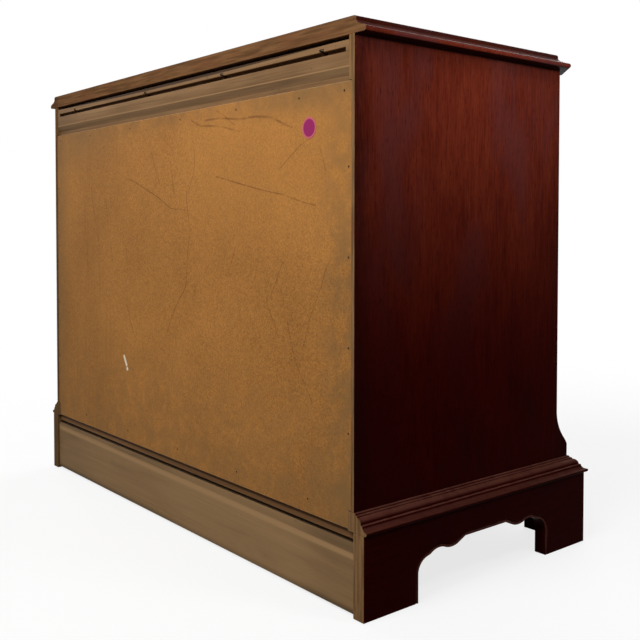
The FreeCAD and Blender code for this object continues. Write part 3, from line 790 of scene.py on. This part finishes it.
@dataclass(frozen=True)
class Metal:
    """Dulled metal, lighter where fingers rub it, or rust where it is not metallic."""

    name: str
    bright: Colour
    tarnish: Colour
    rough: float
    metallic: float = 1.0
    gloss: float = 0.5
    wear_reach: float = 1.0 * MM
    tarnish_rough: float = 0.22
    relief: float = 0.02 * MM
    clouds: Cloud = Cloud(85.0, 5.0, 0.4, step=(0.42, 0.66))
    pits: Cloud = Cloud(900.0, 2.0)

    def make(self) -> bpy.types.Material:
        """Makes the material.

        Returns:
            The material.
        """
        shade = Shade(self.name)
        kept = shade.calc("SUBTRACT", 1.0, shade.edge(self.wear_reach))
        dull = shade.product(shade.patches(self.clouds), kept)
        colour = shade.mix(dull, self.bright, self.tarnish)
        rough = shade.calc("MULTIPLY_ADD", dull, self.tarnish_rough, self.rough)
        return shade.surface(
            colour, rough, shade.cloud(self.pits), self.relief, Metallic=self.metallic,
            Specular_IOR_Level=self.gloss)


@dataclass(frozen=True)
class Paper:
    """Plain coloured label paper."""

    name: str
    colour: Colour
    fibre_shade: float = 0.86
    rough: float = 0.55
    gloss: float = 0.15
    relief: float = 0.02 * MM
    fibres: Cloud = Cloud(700.0)

    def make(self) -> bpy.types.Material:
        """Makes the material.

        Returns:
            The material.
        """
        shade = Shade(self.name)
        fibre = shade.cloud(self.fibres)
        colour = shade.mix(fibre, scaled(self.colour, self.fibre_shade), self.colour)
        return shade.surface(colour, self.rough, fibre, self.relief, Specular_IOR_Level=self.gloss)


PALE_WOOD = ((0.30, 0.20, 0.10), (0.46, 0.33, 0.18))
# Painted shade towards the foot of the ends and base, and a lighter painted highlight tint for the beads.
FOOT_SHADE = (0.24, 0.06, 0.055)
BEAD_HIGHLIGHT = (0.80, 1.40, 1.70)
# Base: painted shade towards the foot, a dusting with painted light, and rubbing with painted highlight over
# the bead and arrises.
BASE_LOOK = {
    "gloss": 0.004, "wear_and_highlight": 1.0, "dust_and_light": 0.85, "wear_reach": 2.4 * MM, "low_painted_light": FOOT_SHADE,
    "worn_and_highlight": (0.125, 0.0430, 0.0280)}


class Finish(Enum):
    """The finishes of the chest."""

    # Top: painted shade along its upper edge and on its undersides, and a darker tone with painted light on
    # its upward slopes.
    VENEER_TOP = Veneer(
        "veneer_top", Along.WIDTH, gloss=0.005, wear_and_highlight=0.9, dust_and_light=0.9, shade_band=(0.8050, 0.8125),
        underside=(-0.70, -0.95), dust_and_light_tone=(0.032, 0.0130, 0.0120), bare=(0.205, 0.0980, 0.0406),
        stained=(0.165, 0.0660, 0.0290))
    # Ends: painted shade under the top's lip, near the rims and towards the foot.
    VENEER_END = Veneer(
        "veneer_end", Along.HEIGHT, gloss=0.004, shade_band=(0.7868, 0.800), shade_band_share=0.92, rim_shade=0.50,
        low_painted_light=FOOT_SHADE)
    VENEER_FRONT = Veneer("veneer_front", Along.WIDTH)
    VENEER_BASE_DEPTH = Veneer(
        "veneer_base_depth", Along.DEPTH, stained=(0.215, 0.1200, 0.0520), **BASE_LOOK)
    VENEER_BASE_WIDTH = Veneer("veneer_base_width", Along.WIDTH, **BASE_LOOK)
    BEAD_DEPTH = Veneer("veneer_bead_depth", Along.DEPTH, gloss=0.004, low_painted_light=BEAD_HIGHLIGHT)
    BEAD_WIDTH = Veneer("veneer_bead_width", Along.WIDTH, gloss=0.004, low_painted_light=BEAD_HIGHLIGHT)
    # Back rail: painted shade in the groove and under the top, and a painted highlight on the bevel's arris.
    BACK_RAIL = BareWood(
        "back_rail_wood", Along.WIDTH, (0.175, 0.0910, 0.0370), (0.285, 0.1600, 0.0700), darkening=0.30,
        specks=0.4, bevel_dirt=0.35, groove=(0.7680, 0.7740), crest=0.7835,
        highlight_lines=(Scuff(((-0.472, 0.7480), (0.472, 0.7480))),))
    # Back base board: painted shade on its top face and ends, painted light in its middle, and a painted
    # highlight along the bevel.
    BACK_BOARD = BareWood(
        "back_board_wood", Along.WIDTH, (0.232, 0.1350, 0.0600), (0.298, 0.1770, 0.0800), darkening=0.25,
        specks=0.6, bevel_dirt=0.44, foot_dirt=0.7, top_shade=0.95, end_shade=0.18,
        highlight_lines=(Scuff(((-0.480, 0.0825), (0.480, 0.0895)), 6.5 * MM),))
    # Case floor: painted shadow of the panel along its upper edge.
    CASE_FLOOR = BareWood(
        "case_floor_wood", Along.WIDTH, (0.130, 0.0600, 0.0220), (0.205, 0.1000, 0.0380), darkening=0.4,
        upper_edge=0.1130)
    INNER_WIDTH = BareWood("inner_wood_width", Along.WIDTH, darkening=0.3)
    INNER_DEPTH = BareWood("inner_wood_depth", Along.DEPTH, darkening=0.3)
    INNER_UPRIGHT = BareWood("inner_wood_upright", Along.HEIGHT, darkening=0.3)
    DRAWER_WIDTH = BareWood("drawer_wood_width", Along.WIDTH, *PALE_WOOD, darkening=0.12)
    DRAWER_DEPTH = BareWood("drawer_wood_depth", Along.DEPTH, *PALE_WOOD, darkening=0.12)
    PANEL = Hardboard("pressed_board")
    BRASS = Metal("aged_brass", (0.62, 0.42, 0.16), (0.16, 0.095, 0.035), 0.26)
    STEEL = Metal("dull_steel", (0.17, 0.125, 0.090), (0.050, 0.0320, 0.0220), 0.45)
    RUST = Metal("rusted_nail", (0.050, 0.0260, 0.0150), (0.026, 0.0130, 0.0080), 0.60, 0.0, 0.08)
    LABEL = Paper("label_magenta", (0.290, 0.0110, 0.1050))
    LABEL_RIM = Paper("label_rim", (0.540, 0.1180, 0.1350))

    @property
    def material(self) -> bpy.types.Material:
        """The finish's material, made on first use."""
        return bpy.data.materials.get(self.value.name) or self.value.make()


def finished(
    name: str, body: str, built: bmesh.types.BMesh, finishes: Sequence[Finish]
) -> bpy.types.Object:
    """Turns a bmesh into a piece of the chest.

    Args:
        name: Name of the piece.
        body: Body that it rides on.
        built: The piece's mesh, which is freed.
        finishes: Finishes by material index.

    Returns:
        The new object.
    """
    mesh = bpy.data.meshes.new(name)
    built.to_mesh(mesh)
    built.free()
    for finish in finishes:
        mesh.materials.append(finish.material)
    piece = bpy.data.objects.new(name, mesh)
    bpy.context.scene.collection.objects.link(piece)
    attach(piece, body)
    log.info("%s: %d faces", name, len(mesh.polygons))
    return piece


def eased(
    node: str, body: str, slot: str, finish: Finish, ease: float, second: Optional[Finish] = None,
    mark: Optional[Callable[[bmesh.types.BMesh], None]] = None,
) -> bpy.types.Object:
    """Stands for a CAD node with its arrises eased.

    Args:
        node: The CAD node.
        body: Body that it rides on.
        slot: Name of a material slot; not used.
        finish: What it is dressed with.
        ease: Width of the eased arris.
        second: A second finish for some of its faces.
        mark: Gives those faces the second material index.

    Returns:
        The new object.
    """
    built = bmesh.new()
    built.from_mesh(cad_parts[node].data)
    bmesh.ops.remove_doubles(built, verts=built.verts, dist=WELD)
    bmesh.ops.dissolve_limit(
        built, angle_limit=FLAT_TURN, verts=built.verts, edges=built.edges, delimit=set())
    sharp = [edge for edge in built.edges if edge.is_manifold and edge.calc_face_angle() > ARRIS_TURN]
    if mark:
        mark(built)
    bmesh.ops.bevel(
        built, geom=sharp, offset=ease, offset_type="OFFSET", segments=2, profile=0.5, affect="EDGES",
        clamp_overlap=True, material=-1)
    for face in built.faces:
        face.smooth = True
    piece = finished(f"{node}_eased", body, built, [finish, second] if second else [finish])
    weight = piece.modifiers.new("even_shading", "WEIGHTED_NORMAL")
    weight.keep_sharp = False
    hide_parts(node)
    return piece


@dataclass
class Case:
    """Top, ends and corner posts."""

    ease: float = 0.7 * MM
    top_ease: float = 0.4 * MM

    def build(self) -> None:
        """Dresses the outside of the case."""
        eased("top_board", "case", "mahogany", Finish.VENEER_TOP, self.top_ease)
        for side in ("left", "right"):
            eased(f"{side}_side", "case", "mahogany", Finish.VENEER_END, self.ease)
            eased(f"{side}_corner_post", "case", "mahogany", Finish.VENEER_END, self.ease)


@dataclass
class Back:
    """Panel and rail in the back, with their small fixings."""

    ease: float = 0.6 * MM
    clip_ease: float = 0.2 * MM
    nail_radius: float = 1.6 * MM
    nail_proud: float = 0.3 * MM
    nail_ease: float = 0.12 * MM
    nail_turn: float = 1.0
    nail_sides: int = 12
    nail_drop: float = 12.0 * MM
    nail_rise: float = 20.4 * MM
    nail_inset: float = 6.0 * MM
    nails_top: tuple[float, ...] = (-0.462, -0.364, -0.205, -0.036, 0.145, 0.315, 0.460)
    nails_bottom: tuple[float, ...] = (-0.384, -0.205, -0.023, 0.160, 0.340)
    nails_ends: tuple[float, ...] = (0.250, 0.367, 0.490, 0.613)
    label_radius: float = 15.5 * MM
    label_rim: float = 2.8 * MM
    label_thick: float = 0.3 * MM
    label_sides: int = 64
    label_place: tuple[float, float] = (-0.387, 0.672)

    def build(self) -> None:
        """Dresses the back and adds the fixings."""
        eased("back_panel", "case", "hardboard", Finish.PANEL, self.ease)
        eased("back_top_rail", "case", "raw_wood", Finish.BACK_RAIL, self.ease)
        eased("case_bottom", "case", "raw_wood", Finish.CASE_FLOOR, self.ease)
        eased("top_clips", "case", "clip_steel", Finish.STEEL, self.clip_ease)
        self.nails()
        self.label()

    def nails(self) -> bpy.types.Object:
        """Adds the nails round the panel's edge.

        Returns:
            The nails, as one piece.
        """
        low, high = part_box("back_panel")
        built = bmesh.new()
        spots = [(x, high.z - self.nail_drop) for x in self.nails_top]
        spots += [(x, low.z + self.nail_rise) for x in self.nails_bottom]
        ends = (low.x + self.nail_inset, high.x - self.nail_inset)
        spots += [(x, z) for x in ends for z in self.nails_ends]
        for x, z in spots:
            place = Matrix.Translation((x, high.y, z)) @ Matrix.Rotation(QUARTER_TURN, 4, "X")
            bmesh.ops.create_cone(
                built, cap_ends=True, segments=self.nail_sides, radius1=self.nail_radius,
                radius2=self.nail_radius, depth=2 * self.nail_proud, matrix=place)
        rims = [edge for edge in built.edges if edge.calc_face_angle(0.0) > self.nail_turn]
        bmesh.ops.bevel(
            built, geom=rims, offset=self.nail_ease, segments=1, profile=0.5, affect="EDGES", material=-1)
        return finished("back_nails", "case", built, [Finish.RUST])

    def label(self) -> bpy.types.Object:
        """Adds a plain round label.

        Returns:
            The label.
        """
        _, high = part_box("back_panel")
        built = bmesh.new()
        x, z = self.label_place
        place = Matrix.Translation((x, high.y + self.label_thick / 2, z))
        bmesh.ops.create_cone(
            built, cap_ends=True, segments=self.label_sides, radius1=self.label_radius,
            radius2=self.label_radius, depth=self.label_thick,
            matrix=place @ Matrix.Rotation(-QUARTER_TURN, 4, "X"))
        face = max(built.faces, key=lambda each: each.calc_center_median().y)
        rim = bmesh.ops.inset_region(built, faces=[face], thickness=self.label_rim, use_even_offset=True)
        for each in rim["faces"]:
            each.material_index = 1
        return finished("blank_label", "case", built, [Finish.LABEL, Finish.LABEL_RIM])


@dataclass
class Base:
    """Bracket-foot boards, their moulding and the pieces inside."""

    ease: float = 0.7 * MM
    moulding_ease: float = 0.4 * MM
    outward_share: float = 0.8

    def build(self) -> None:
        """Dresses the base."""
        looks = {
            "left": (Finish.VENEER_BASE_DEPTH, Finish.BEAD_DEPTH),
            "right": (Finish.VENEER_BASE_DEPTH, Finish.BEAD_DEPTH),
            "front": (Finish.VENEER_BASE_WIDTH, Finish.BEAD_WIDTH)}
        for side, (veneer, bead) in looks.items():
            eased(f"{side}_base_board", "case", "mahogany", veneer, self.ease, bead, self.mark_bead)
            eased(f"{side}_base_moulding", "case", "mahogany", veneer, self.moulding_ease)
        eased("back_base_board", "case", "raw_wood", Finish.BACK_BOARD, self.ease)
        eased("base_ledgers", "case", "raw_wood", Finish.INNER_DEPTH, self.ease)
        eased("foot_blocks", "case", "raw_wood", Finish.INNER_UPRIGHT, self.ease)

    def mark_bead(self, built: bmesh.types.BMesh) -> None:
        """Marks the bead along a board's scroll, the second largest smooth area on the board's outer face.

        Args:
            built: Mesh of a base board.
        """
        areas = []
        left = set(built.faces)
        while left:
            area = [left.pop()]
            for face in area:
                for edge in face.edges:
                    if edge.is_manifold and edge.calc_face_angle() < ARRIS_TURN:
                        fresh = left.intersection(edge.link_faces)
                        left -= fresh
                        area.extend(fresh)
            areas.append(area)
        middle = sum((face.calc_center_median() for face in built.faces), Vector()) / len(built.faces)
        outward = Vector((middle.x, middle.y, 0.0)).normalized()
        beside = [faces for faces in areas if self.facing(faces).dot(outward) > self.outward_share]
        beside.sort(key=lambda faces: sum(face.calc_area() for face in faces))
        for face in beside[-2]:
            face.material_index = 1

    def facing(self, faces: Sequence[bmesh.types.BMFace]) -> Vector:
        """Mean direction of several faces."""
        return sum((face.normal * face.calc_area() for face in faces), Vector()).normalized()


@dataclass
class DrawerFrame:
    """Rails, runners, guides and stops round the drawers."""

    ease: float = 0.5 * MM
    dividers: int = 3

    def build(self) -> None:
        """Dresses the frames."""
        names = ["front_top_rail", "front_bottom_rail"]
        names += [f"drawer_divider_{number}" for number in range(1, self.dividers + 1)]
        for name in names:
            eased(name, "case", "mahogany", Finish.VENEER_FRONT, self.ease)
        eased("frame_back_rails", "case", "raw_wood", Finish.INNER_WIDTH, self.ease)
        for name in ("drawer_runners", "drawer_guides", "drawer_stops"):
            eased(name, "case", "raw_wood", Finish.INNER_DEPTH, self.ease)


@dataclass
class Drawer:
    """One drawer with its two pulls."""

    number: int
    ease: float = 0.5 * MM
    front_ease: float = 0.3 * MM
    mount_ease: float = 0.4 * MM
    bail_ease: float = 0.3 * MM

    def build(self) -> None:
        """Dresses the drawer and its pulls."""
        body = f"drawer_{self.number}"
        eased(f"{body}_front", body, "mahogany", Finish.VENEER_FRONT, self.front_ease)
        for side in ("left", "right"):
            eased(f"{body}_{side}_side", body, "drawer_wood", Finish.DRAWER_DEPTH, self.ease)
        eased(f"{body}_back", body, "drawer_wood", Finish.DRAWER_WIDTH, self.ease)
        eased(f"{body}_bottom", body, "drawer_wood", Finish.DRAWER_WIDTH, self.ease)
        eased(f"{body}_pull_mounts", body, "brass", Finish.BRASS, self.mount_ease)
        for side in ("left", "right"):
            eased(f"{body}_{side}_bail", f"{body}_{side}_bail_body", "brass", Finish.BRASS, self.bail_ease)


def aimed(place: Point, aim: Vector) -> Matrix:
    """Place and turn of a lamp or camera that looks along a direction."""
    return Matrix.Translation(place) @ aim.to_track_quat("-Z", "Y").to_matrix().to_4x4()


@dataclass(frozen=True)
class Lamp:
    """A soft square lamp, with its power in watts and whether polished faces show it."""

    name: str
    place: Point
    target: Point
    size: float
    power: float
    mirrored: bool = True

    def hang(self) -> None:
        """Hangs the lamp in the studio."""
        data = bpy.data.lights.new(self.name, "AREA")
        data.size = self.size
        data.energy = self.power
        lamp = bpy.data.objects.new(self.name, data)
        lamp.visible_camera = False
        lamp.visible_glossy = self.mirrored
        lamp.matrix_world = aimed(self.place, Vector(self.target) - Vector(self.place))
        bpy.context.scene.collection.objects.link(lamp)


@dataclass
class Studio:
    """Floor, light and camera."""

    floor_reach: float = 14.0
    floor_sides: int = 64
    floor_drop: float = 0.5 * MM
    floor_fade: Step = (0.9, 2.4)
    floor_glow: float = 0.78
    floor_tone: Colour = (0.80, 0.80, 0.80)
    bounce_tone: Colour = (0.20, 0.20, 0.20)
    sky_light: float = 0.08
    eye: Point = (-1.3652, 1.0650, 0.5333)
    yaw: float = 51.49
    pitch: float = -1.72
    lens: float = 49.99
    sensor: float = 36.0
    sight: float = 100.0
    shift: tuple[float, float] = (0.0390, -0.1059)
    lamps: tuple[Lamp, ...] = (
        Lamp("back_lamp", (-0.6, 1.6, 2.05), (-0.1, 0.25, 0.60), 1.2, 50.0),
        Lamp("end_lamp", (-0.98, -0.02, 0.86), (-0.48, 0.0, 0.64), 0.20, 3.0, False),
        Lamp("front_lamp", (0.9, -2.5, 1.9), (0.0, -0.2, 0.40), 2.0, 56.0),
        Lamp("right_lamp", (2.3, 0.3, 1.7), (0.5, 0.0, 0.45), 1.6, 36.0))

    def build(self) -> None:
        """Sets up the studio."""
        self.camera()
        self.floor()
        self.world()
        for lamp in self.lamps:
            lamp.hang()
        bpy.context.scene.view_settings.view_transform = "Standard"

    def camera(self) -> None:
        """Stands the camera where the photograph was taken."""
        data = bpy.data.cameras.new("camera")
        data.lens = self.lens
        data.sensor_width = self.sensor
        data.shift_x, data.shift_y = self.shift
        data.clip_end = self.sight
        eye = bpy.data.objects.new("camera", data)
        turn, dip = math.radians(self.yaw), math.radians(self.pitch)
        aim = Vector((math.sin(turn) * math.cos(dip), -math.cos(turn) * math.cos(dip), math.sin(dip)))
        eye.matrix_world = aimed(self.eye, aim)
        bpy.context.scene.collection.objects.link(eye)
        bpy.context.scene.camera = eye

    def seen(self, tree: bpy.types.NodeTree) -> Socket:
        """Mask of the rays that show the background.

        Args:
            tree: Node tree that reads it.

        Returns:
            1 for camera, glossy and transmission rays.
        """
        path = tree.nodes.new("ShaderNodeLightPath")
        total = path.outputs["Is Camera Ray"]
        for name in ("Is Glossy Ray", "Is Transmission Ray"):
            both = tree.nodes.new("ShaderNodeMath")
            both.operation = "MAXIMUM"
            tree.links.new(total, both.inputs[0])
            tree.links.new(path.outputs[name], both.inputs[1])
            total = both.outputs[0]
        return total

    def floor(self) -> None:
        """Lays a pale floor that fades into the white backdrop."""
        built = bmesh.new()
        bmesh.ops.create_circle(built, cap_ends=True, segments=self.floor_sides, radius=self.floor_reach)
        mesh = bpy.data.meshes.new("floor")
        built.to_mesh(mesh)
        built.free()
        shade = Shade("pale_floor")
        diffuse = shade.node("ShaderNodeBsdfDiffuse", {"Color": self.floor_tone})
        glow = shade.node("ShaderNodeEmission", {"Color": WHITE, "Strength": 1.0})
        near = {0: self.floor_glow, 1: diffuse.outputs[0], 2: glow.outputs[0]}
        lit = shade.node("ShaderNodeMixShader", near)
        reach = shade.node("ShaderNodeVectorMath", {0: shade.place}, operation="LENGTH").outputs["Value"]
        far = shade.span(reach, *self.floor_fade)
        pale = shade.node("ShaderNodeMixShader", {0: far, 1: lit.outputs[0], 2: glow.outputs[0]})
        dim = shade.node("ShaderNodeBsdfDiffuse", {"Color": self.bounce_tone})
        seen = self.seen(shade.tree)
        both = shade.node("ShaderNodeMixShader", {0: seen, 1: dim.outputs[0], 2: pale.outputs[0]})
        shade.node("ShaderNodeOutputMaterial", {"Surface": both.outputs[0]})
        mesh.materials.append(shade.material)
        floor = bpy.data.objects.new("floor", mesh)
        floor.location.z = -self.floor_drop
        bpy.context.scene.collection.objects.link(floor)

    def world(self) -> None:
        """Gives a soft even sky and a white backdrop."""
        world = bpy.data.worlds.new("studio")
        world.use_nodes = True
        bpy.context.scene.world = world
        tree = world.node_tree
        sky = tree.nodes["Background"]
        sky.inputs["Color"].default_value = (*WHITE, 1.0)
        level = tree.nodes.new("ShaderNodeMapRange")
        tree.links.new(self.seen(tree), level.inputs["Value"])
        level.inputs["To Min"].default_value = self.sky_light
        level.inputs["To Max"].default_value = 1.0
        tree.links.new(level.outputs[0], sky.inputs["Strength"])


def main() -> None:
    """Builds and dresses the chest and its studio."""
    logging.basicConfig(level=logging.INFO, format="%(message)s", stream=sys.stdout)
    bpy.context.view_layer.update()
    drawers = [Drawer(number) for number in range(1, DRAWERS + 1)]
    for assembly in (Case(), Back(), Base(), DrawerFrame(), *drawers):
        assembly.build()
    Studio().build()


if __name__ == "__main__":
    main()
